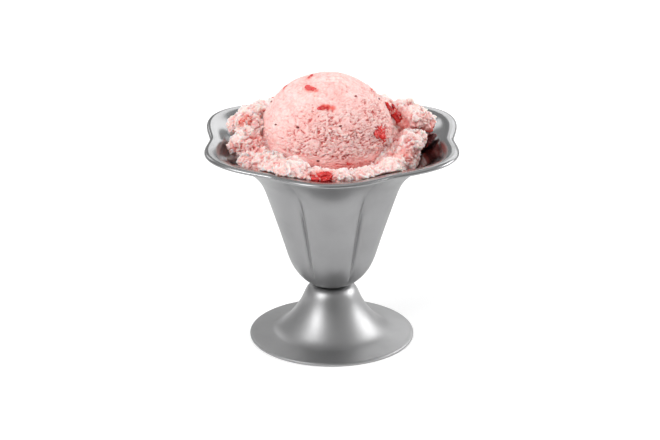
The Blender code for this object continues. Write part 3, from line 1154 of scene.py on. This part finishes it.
    def half(self, half: Half) -> Shape:
        """Mound and lumps of one half as one even skin, from a voxel remesh.

        The mound's points past the middle are brought back to it, so that each
        half is closed, and the two halves overlap by a little.

        Args:
            half: Which half.

        Returns:
            The skin.
        """
        side = half.value
        mound = self.mound()
        mound.points[:, 1] = side * np.maximum(side * mound.points[:, 1], -self.overlap)
        large = [*self.lumps, *self.necks()]
        lumps = [self.lump_shape(lump, number) for number, lump in enumerate(large)]
        lumps += self.small_shapes()
        near = [lump for lump in lumps if side * lump.points[:, 1].mean() > 0]
        thing = make_object("bed_source", joined([mound, *near]))
        even = thing.modifiers.new("even", "REMESH")
        even.mode = "VOXEL"
        even.voxel_size = self.grain * MM
        mesh = thing.evaluated_get(bpy.context.evaluated_depsgraph_get()).to_mesh()
        points = np.empty(len(mesh.vertices) * 3)
        mesh.vertices.foreach_get("co", points)
        corners = np.empty(len(mesh.loops), np.int64)
        mesh.loops.foreach_get("vertex_index", corners)
        bpy.data.objects.remove(thing, do_unlink=True)
        return Shape(points.reshape(-1, 3) / MM, corners.reshape(-1, 4)).outwards()

    def crumble(self, shape: Shape) -> Array:
        """Tear the skin along its normals: creases of three sizes, pits and grain.

        Args:
            shape: The skin, whose points are moved.

        Returns:
            Painted shade and highlight: 0 pales the tips, 1 darkens the pits.
        """
        noise, at = self.noise, shape.points
        at = at + 1.4 * noise.shifts(at, 3.0)
        broad = noise.ridged(at + 30.0, 7.0, 2)
        torn = noise.cracks(at, 3.6, 2, low=0.40)
        fine = noise.cracks(at + 50.0, 1.5, 2)
        holes = rise(noise.nearest(at, 2.6) + 0.2 * noise.smooth(at, 0.9), 0.40, 0.10)
        grain = noise.layered(at + 70.0, 1.1, 2)
        height = 0.25 + 0.9 * (broad - 0.45) + 0.34 * grain
        height = height - 0.8 * torn - 0.4 * fine - 0.6 * holes
        shape.points = shape.points + shape.normals() * height[:, None]
        # Painted shade and highlight: low points get a darker, pinker colour and high points a
        # paler one.
        return np.clip(0.29 - 0.50 * height, 0, 1)

    def sunk(self, points: Array) -> Array:
        """How far each point lies below the highest one in its cell and those round it.

        Args:
            points: Rows of x, y, z.

        Returns:
            Depths in millimetres.
        """
        row, column = (np.floor(points[:, :2] / self.cell).astype(int) + self.cells // 2).T
        top = np.full((self.cells, self.cells), -np.inf)
        np.maximum.at(top, (row, column), points[:, 2])
        steps = itertools.product((-1, 0, 1), repeat=2)
        wide = np.max([np.roll(top, step, (0, 1)) for step in steps], axis=0)
        return wide[row, column] - points[:, 2]

    def keep_inside(self, points: Array, bowl: TulipBowl) -> Array:
        """Bring points in to the bowl's inside wall, less a small gap.

        Args:
            points: Rows of x, y, z.
            bowl: The bowl.

        Returns:
            The moved rows. Above the flare they stay.
        """
        away = np.hypot(points[:, 0], points[:, 1])
        most = bowl.inner_radius(bearing_of(points), points[:, 2]) - self.wall_gap
        limit = np.where(points[:, 2] < self.flare_height, most, np.inf)
        kept = points.copy()
        kept[:, :2] *= np.minimum(1.0, limit / np.maximum(away, 1e-6))[:, None]
        return kept

    def body(self, bowl: TulipBowl) -> Shape:
        """The hidden body of the bed, which follows the inside of the bowl down.

        Args:
            bowl: The bowl that holds it.

        Returns:
            The body.
        """
        line = bowl.inner_side()[5:]
        line = line[line[:, 1] < self.cut + 1.5][::3]
        line = line + np.array([-0.35, 0.35])
        made = turned(np.concatenate([[[0.0, line[0, 1]]], line, [[0.0, line[-1, 1]]]]), 120)
        made.points = bowl.flutes.press(made.points)
        return made

    def build(self, bowl: TulipBowl, scoop: Scoop, stains: list[Stain]) -> list[bpy.types.Object]:
        """Make the bed's two halves, its hidden body and its loose crumbs, and dress them.

        Args:
            bowl: The bowl that holds it.
            scoop: The scoop in its middle.
            stains: Where juice has coloured it.

        Returns:
            The four objects.
        """
        material = self.finish.make()
        made, skins = [], []
        for half in Half:
            skin = self.half(half)
            pit = self.crumble(skin)
            # Painted shade in the hollows between lumps, from how far below its neighbours each
            # point lies.
            pit = pit + self.hollow_painted_shade * rise(self.sunk(skin.points), *self.hollow_shade_depths)
            skin.points = self.keep_inside(scoop.push_out(skin.points, 0.5), bowl)
            skin.values = {"pit": pit, "juice": juice_at(skin.points, stains)}
            skins.append(skin)
            made.append(make_object("bed_" + half.name.lower(), skin))
        body = self.body(bowl)
        body.values = {key: np.zeros(len(body.points)) for key in ("pit", "juice")}
        made.append(make_object("bed_body", body))
        crumbs = self.crumb_shapes(joined(skins), scoop)
        made.append(make_object("bed_crumbs", crumbs, smooth=False))
        for thing in made:
            dressed(thing, material, "ice_cream_bed")
        return made

    def crumb_shapes(self, skin: Shape, scoop: Scoop) -> Shape:
        """Loose crumbs, half sunk in the skin at seeded places that face up or out.

        Args:
            skin: Both halves of the bed.
            scoop: The scoop, which they keep clear of.

        Returns:
            The crumbs.
        """
        draw = np.random.default_rng(5)
        off = skin.points - np.array(scoop.centre)
        clear = np.linalg.norm(off, axis=1) > scoop.radius + self.crumb_clear
        above = skin.points[:, 2] > self.crumb_floor
        open_air = clear & (skin.normals()[:, 2] > -0.3) & above
        picked = draw.choice(np.flatnonzero(open_air), self.crumbs, replace=False)
        sizes = draw.uniform(*self.crumb_radii, self.crumbs)
        sizes = sizes * draw.uniform(*self.crumb_shares, self.crumbs)
        made = []
        plain = ball(7, 5)
        for index, size in zip(picked, sizes):
            stretch = size * draw.uniform(0.6, 1.25, 3)
            wobble = 1 + 0.25 * draw.normal(size=(len(plain.points), 1)).clip(-1.5, 1.5)
            points = plain.points * wobble * stretch + skin.points[index]
            made.append(Shape(points, plain.quads, plain.triangles))
        whole = joined(made)
        whole.values = {
            "pit": np.repeat(draw.uniform(0, 0.35, self.crumbs), len(plain.points)),
            "juice": np.repeat(skin.values["juice"][picked], len(plain.points)),
        }
        return whole


def ball(columns: int, rows: int) -> Shape:
    """Unit sphere: rows of elevation by columns of bearing.

    Args:
        columns: Points round it.
        rows: Bands from pole to pole.

    Returns:
        The sphere.
    """
    elevations = np.linspace(90, -90, rows + 1)[1:-1]
    bearings = np.arange(columns) * 360.0 / columns
    elevation, bearing = np.meshgrid(elevations, bearings, indexing="ij")
    return closed_rows(direction(bearing, elevation), (0, 0, 1), (0, 0, -1))


@dataclass
class BerryPiece:
    """A crushed piece of strawberry, set in the ice cream."""

    name: str
    centre: Triple
    half_sizes: Triple
    bearing: float
    lean: float
    seed: int
    boxy: float = 2.1
    chunks: int = 34
    core: float = 0.61
    chunk_ways: Station = (0.5, 0.82)
    chunk_shares: Station = (0.17, 0.34)

    def shape(self) -> Shape:
        """A body and smaller chunks round it, all torn, turned and moved to their place."""
        draw = np.random.default_rng(self.seed)
        made = [self.chunk(np.zeros(3), self.core, 0)]
        for number in range(self.chunks):
            way = draw.normal(size=3)
            way /= np.linalg.norm(way)
            middle = way * draw.uniform(*self.chunk_ways)
            made.append(self.chunk(middle, draw.uniform(*self.chunk_shares), 7 * number + 5))
        whole = joined(made)
        turn = turn_of(self.bearing, self.lean)
        whole.points = whole.points @ turn.T + np.array(self.centre)
        return whole

    def chunk(self, middle: Array, share: float, shift: int) -> Shape:
        """A squarish ball, |x|^p + |y|^p + |z|^p = 1, swollen by noise, creased and dimpled.

        Args:
            middle: Its middle, in shares of the piece's half sizes.
            share: Its size, as a share of the piece's.
            shift: Number that gives it its own noise.

        Returns:
            The chunk, before the piece is turned.
        """
        made = ball(96, 48) if share == self.core else ball(40, 20)
        ways, noise = made.points, Noise(self.seed + shift)
        reach = (np.abs(ways) ** self.boxy).sum(1) ** (-1 / self.boxy)
        reach *= 1 + 0.34 * noise.smooth(ways, 0.75) + 0.16 * noise.layered(ways + 4.0, 0.35, 2)
        sizes = np.array(self.half_sizes)
        at = (ways * reach[:, None] * share + middle) * sizes
        crease = noise.ridged(at + 9.0, 1.6, 3)
        dimple = rise(noise.nearest(at, 1.3), 0.42, 0.1)
        at += ways * (0.6 * (0.4 - crease) - 0.3 * dimple)[:, None]
        made.points = at
        return made


@dataclass
class Strawberries:
    """All the strawberry: pieces, flecks and seeds."""

    scoop: Scoop
    finish: FleshFinish = FleshFinish("strawberry_flesh")
    fleck_finish: FleshFinish = FleshFinish(
        "strawberry_fleck",
        (0.62, 0.03, 0.035), (0.86, 0.09, 0.09), (0.92, 0.35, 0.32),
        cream_share=0.7,
    )
    streaked_finish: FleshFinish = FleshFinish(
        "strawberry_streaked",
        (0.66, 0.08, 0.06), (0.84, 0.20, 0.16), (0.90, 0.42, 0.36),
        cream_share=0.5,
    )
    streaked: tuple[str, ...] = ("strawberry_left", "strawberry_back_left")
    seed_finish: SeedFinish = SeedFinish("strawberry_seed")
    seed_sizes: Triple = (0.7, 0.4, 0.45)
    in_bed: tuple[tuple[str, float, float, float, Triple, float], ...] = (
        ("strawberry_front", -4.6, 44.6, 88.5, (7.6, 3.3, 2.7), 0),
        ("strawberry_right", 97, 28.1, 96.0, (3.3, 2.5, 9.6), -28),
        ("strawberry_left", -84, 35.6, 97.4, (4.0, 3.4, 3.2), 10),
        ("strawberry_back", 161, 35.4, 98.4, (5.4, 3.6, 3.2), 0),
        ("strawberry_back_left", -141, 38.4, 93.4, (3.6, 3.4, 3.4), 10),
    )
    in_scoop: tuple[float, float, Triple] = (57.5, 16.5, (5.4, 1.6, 4.5))
    flecks: tuple[tuple[float, float, Triple], ...] = (
        (-41, 66, (2.0, 0.7, 1.6)), (-5, 48, (1.9, 0.7, 1.3)), (-110, 75, (1.5, 0.6, 1.0)),
        (18, -2, (0.7, 0.4, 0.6)), (96, 48, (1.4, 0.6, 0.9)), (141, 46, (2.0, 0.7, 1.2)),
        (172, 58, (1.8, 0.6, 1.0)), (-150, 44, (1.6, 0.6, 1.2)), (-104, 50, (1.3, 0.6, 0.9)),
    )
    bits: int = 7
    piece_reach: float = 0.42
    piece_strength: float = 0.9
    scoop_stain: Station = (4.4, 0.6)
    red_stain: Station = (4.0, 0.65)
    pink_stain: Station = (3.4, 0.6)
    fleck_steps: Triple = (1.15, 1.0, 0.75)
    stains_and_painted_shadow: tuple[Stain, ...] = (
        # Painted shadow: the first stain is strong enough to turn the low lump at bearing 97 near
        # black; the second is a real stain.
        Stain((40.2, 5.0, 86.0), 6.0, 2.8),
        Stain((31.0, -15.0, 89.0), 4.0, 0.35),
    )
    red_spots: tuple[Triple, ...] = (
        (-36.0, -2.0, 97.0), (-30.5, -14.0, 93.0), (31.0, -20.0, 90.0), (26.0, -22.0, 88.5),
    )
    pink_spots: tuple[Triple, ...] = (
        (-28.0, 22.0, 95.0), (12.0, 38.0, 93.0), (33.0, 14.0, 93.5), (-12.0, -37.0, 90.0),
    )
    seeds: tuple[tuple[float, float], ...] = (
        (-55.5, 24.4), (-28.8, 28), (-7.3, 1.7), (46.9, 54.8), (88.7, 40.1), (46.3, -11.4),
        (13.5, 31), (120, 30), (150, 12), (178, 34), (-168, 8), (-140, 24), (-118, 14), (-95, 34),
    )

    def pieces(self) -> list[BerryPiece]:
        """The pieces as large as a node, in the bed and in the scoop."""
        made = []
        for number, (name, bearing, distance, height, sizes, lean) in enumerate(self.in_bed):
            centre = tuple(direction(bearing) * distance + np.array([0, 0, height]))
            made.append(BerryPiece(name, centre, sizes, bearing, lean, 30 + number))
        bearing, elevation, sizes = self.in_scoop
        centre = tuple(self.scoop.spot(bearing, elevation, -0.8))
        made.append(
            BerryPiece("strawberry_scoop", centre, sizes, bearing, -elevation, 40, chunks=24)
        )
        return made

    def stains(self) -> list[Stain]:
        """Juice round each piece and fleck, a painted shadow on the right, and where the bed is
        stained.
        """
        *in_bed, in_scoop = self.pieces()
        made = [Stain(in_scoop.centre, *self.scoop_stain)]
        for piece in in_bed:
            reach = sum(piece.half_sizes) * self.piece_reach
            made.append(Stain(piece.centre, reach, self.piece_strength))
        for bearing, elevation, sizes in self.flecks:
            for step, strength in enumerate(self.fleck_steps):
                beside = direction(bearing + 90) * sizes[0] * step
                spot = self.scoop.spot(bearing, elevation) + beside
                made.append(Stain(tuple(spot), sizes[0] * 0.95, strength))
        made += [Stain(spot, *self.red_stain) for spot in self.red_spots]
        made += [Stain(spot, *self.pink_stain) for spot in self.pink_spots]
        return [*made, *self.stains_and_painted_shadow]

    def build(self) -> list[bpy.types.Object]:
        """Make every piece, the flecks and the seeds, and dress them."""
        made = []
        flesh, streaked = self.finish.make(), self.streaked_finish.make()
        for piece in self.pieces():
            made.append(make_object(piece.name + "_flesh", piece.shape()))
            finish = streaked if piece.name in self.streaked else flesh
            dressed(made[-1], finish, piece.name)
        flecks = joined([self.fleck(*entry) for entry in self.flecks])
        made.append(make_object("scoop_flecks", flecks))
        dressed(made[-1], self.fleck_finish.make(), "ice_cream_scoop")
        seeds = joined([self.seed(*entry) for entry in self.seeds])
        made.append(make_object("scoop_seeds", seeds))
        dressed(made[-1], self.seed_finish.make(), "ice_cream_scoop")
        return made

    def fleck(self, bearing: float, elevation: float, sizes: Triple) -> Shape:
        """A smear of small torn bits, flush with the scoop, that thins out to the right.

        Args:
            bearing: Degrees.
            elevation: Degrees.
            sizes: Half sizes along, out of and up the ball.

        Returns:
            The fleck.
        """
        draw = np.random.default_rng(200 + int(bearing))
        bits = []
        for number in range(self.bits):
            along = number / (self.bits - 1)
            bit = ball(18, 10)
            swell = 1 + 0.4 * Noise(60 + number).layered(bit.points, 0.7, 2)
            middle = np.array([2.1 * along - 0.7, 0.0, draw.uniform(-0.5, 0.5)])
            bit.points = bit.points * swell[:, None] * (0.62 - 0.36 * along) + middle
            bits.append(bit)
        return self.laid(joined(bits), sizes, bearing, elevation, -0.2)

    def seed(self, bearing: float, elevation: float) -> Shape:
        """A drop-shaped seed that lies in the scoop's surface.

        Args:
            bearing: Degrees.
            elevation: Degrees.

        Returns:
            The seed.
        """
        made = ball(14, 9)
        made.points = made.points * (1 - 0.25 * made.points[:, :1])
        return self.laid(made, self.seed_sizes, bearing, elevation, 0.0)

    def laid(
        self, made: Shape, sizes: Triple, bearing: float, elevation: float, out: float
    ) -> Shape:
        """Scale a shape of unit size and lay it on the scoop.

        Args:
            made: The shape, whose points are moved.
            sizes: Half sizes along, out of and up the ball.
            bearing: Degrees.
            elevation: Degrees.
            out: Distance of its middle from the ball's surface.

        Returns:
            The shape.
        """
        turn = turn_of(bearing, -elevation)
        place = self.scoop.spot(bearing, elevation, out)
        made.points = (made.points * np.array(sizes)) @ turn.T + place
        return made


def dressed(
    thing: bpy.types.Object, material: bpy.types.Material, node: str
) -> bpy.types.Object:
    """Give a piece its material, hang it on the root body, and hide the CAD node that it stands
    for.

    Args:
        thing: The piece.
        material: Its finish.
        node: The CAD node that it replaces.

    Returns:
        The piece.
    """
    thing.data.materials.clear()
    thing.data.materials.append(material)
    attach(thing, "root")
    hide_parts(node)
    log.info("%s: %d faces", thing.name, len(thing.data.polygons))
    return thing


@dataclass(frozen=True)
class Softbox:
    """A soft rectangular light at a bearing and elevation from the dish."""

    name: str
    bearing: float
    elevation: float
    distance: float
    width: float
    height: float
    radiance: float
    in_steel: bool = True
    aim: Triple = (0.0, 0.0, 0.06)

    def build(self) -> bpy.types.Object:
        """Make the light, with its power worked out from its radiance: pi times area."""
        data = bpy.data.lights.new(self.name, "AREA")
        data.shape = "RECTANGLE"
        data.size, data.size_y = self.width, self.height
        data.energy = self.radiance * math.pi * self.width * self.height
        made = bpy.data.objects.new(self.name, data)
        way = Vector(direction(self.bearing, self.elevation))
        made.location = Vector(self.aim) + way * self.distance
        made.rotation_euler = way.to_track_quat("Z", "Y").to_euler()
        made.visible_glossy = self.in_steel
        bpy.context.scene.collection.objects.link(made)
        return made


@dataclass
class Studio:
    """Pale floor, soft lights, a graded surround and the photograph's camera."""

    floor_tone: Colour = (0.88, 0.88, 0.88)
    floor_glow: float = 0.22
    floor_half: float = 6000.0
    floor_below: float = 0.03
    horizon: float = 0.42
    zenith: float = 0.6
    front_share: float = 0.22
    graded: tuple[float, float] = (0.25, 1.0)
    front_edge: tuple[float, float] = (-0.92, -0.70)
    distance: float = 1.4
    elevation: float = 22.0
    target: Triple = (-0.00075, 0.0, 0.0523)
    focal_share: float = 3311.0 / 660.0
    sensor: float = 36.0
    softboxes: tuple[Softbox, ...] = (
        Softbox("overhead", 200, 74, 1.5, 1.5, 1.1, 0.4),
        Softbox("left", -56, 38, 1.0, 0.46, 0.56, 5.0),
        Softbox("fill", -24, 44, 1.2, 0.70, 0.50, 3.5, in_steel=False),
        Softbox("right", 106, 27, 1.0, 0.60, 0.42, 6.4),
        Softbox("back", 160, 26, 1.2, 0.90, 0.40, 1.7),
        Softbox("back_left", -150, 28, 1.2, 0.40, 0.30, 1.7),
    )

    def floor(self) -> None:
        """Lay the floor, just under the foot."""
        corners = np.array([[-1, -1, 0], [1, -1, 0], [1, 1, 0], [-1, 1, 0]]) * self.floor_half
        corners[:, 2] = -self.floor_below
        made = make_object("floor", Shape(corners, np.array([[0, 1, 2, 3]])), smooth=False)
        material = bpy.data.materials.new("pale_floor")
        graph = Graph(material)
        graph.set(
            Base_Color=self.floor_tone,
            Roughness=0.85,
            Emission_Color=(1.0, 1.0, 1.0),
            Emission_Strength=self.floor_glow,
            Specular_IOR_Level=0.1,
        )
        made.data.materials.append(material)

    def surround(self) -> None:
        """Grade the surround from a dim horizon to a bright zenith."""
        world = bpy.data.worlds.new("surround")
        graph = Graph(world, "Background")
        way = graph.node("ShaderNodeTexCoord", {}, {}, "Generated")
        height = graph.node("ShaderNodeSeparateXYZ", {}, {0: way}, "Z")
        depth = graph.node("ShaderNodeSeparateXYZ", {}, {0: way}, "Y")
        level = self.horizon + (self.zenith - self.horizon) * height.between(*self.graded)
        front = 1.0 - depth.between(*self.front_edge)
        graph.set(Strength=level * (1.0 - (1.0 - self.front_share) * front), Color=(1.0, 1.0, 1.0))
        bpy.context.scene.world = world

    def camera(self) -> None:
        """Set the camera where the photograph was taken from."""
        data = bpy.data.cameras.new("camera")
        data.sensor_width = self.sensor
        data.lens = self.sensor * self.focal_share
        data.clip_end = 50.0
        made = bpy.data.objects.new("camera", data)
        lift = math.radians(self.elevation)
        way = Vector((0, -math.cos(lift), math.sin(lift)))
        made.location = Vector(self.target) + way * self.distance
        made.rotation_euler = (math.pi / 2 - lift, 0, 0)
        bpy.context.scene.collection.objects.link(made)
        bpy.context.scene.camera = made

    def build(self) -> None:
        """Set up everything that isn't the sundae."""
        self.floor()
        self.surround()
        for softbox in self.softboxes:
            softbox.build()
        self.camera()
        bpy.context.scene.view_settings.view_transform = "Standard"


def main() -> None:
    """Build the sundae and its studio."""
    logging.basicConfig(level=logging.INFO, format="%(name)s: %(message)s")
    bowl, scoop = TulipBowl(), Scoop()
    berries = Strawberries(scoop)
    stains = berries.stains()
    bowl.build()
    TrumpetFoot().build()
    scoop.build(stains)
    Bed().build(bowl, scoop, stains)
    berries.build()
    Studio().build()


if __name__ == "__main__":
    main()
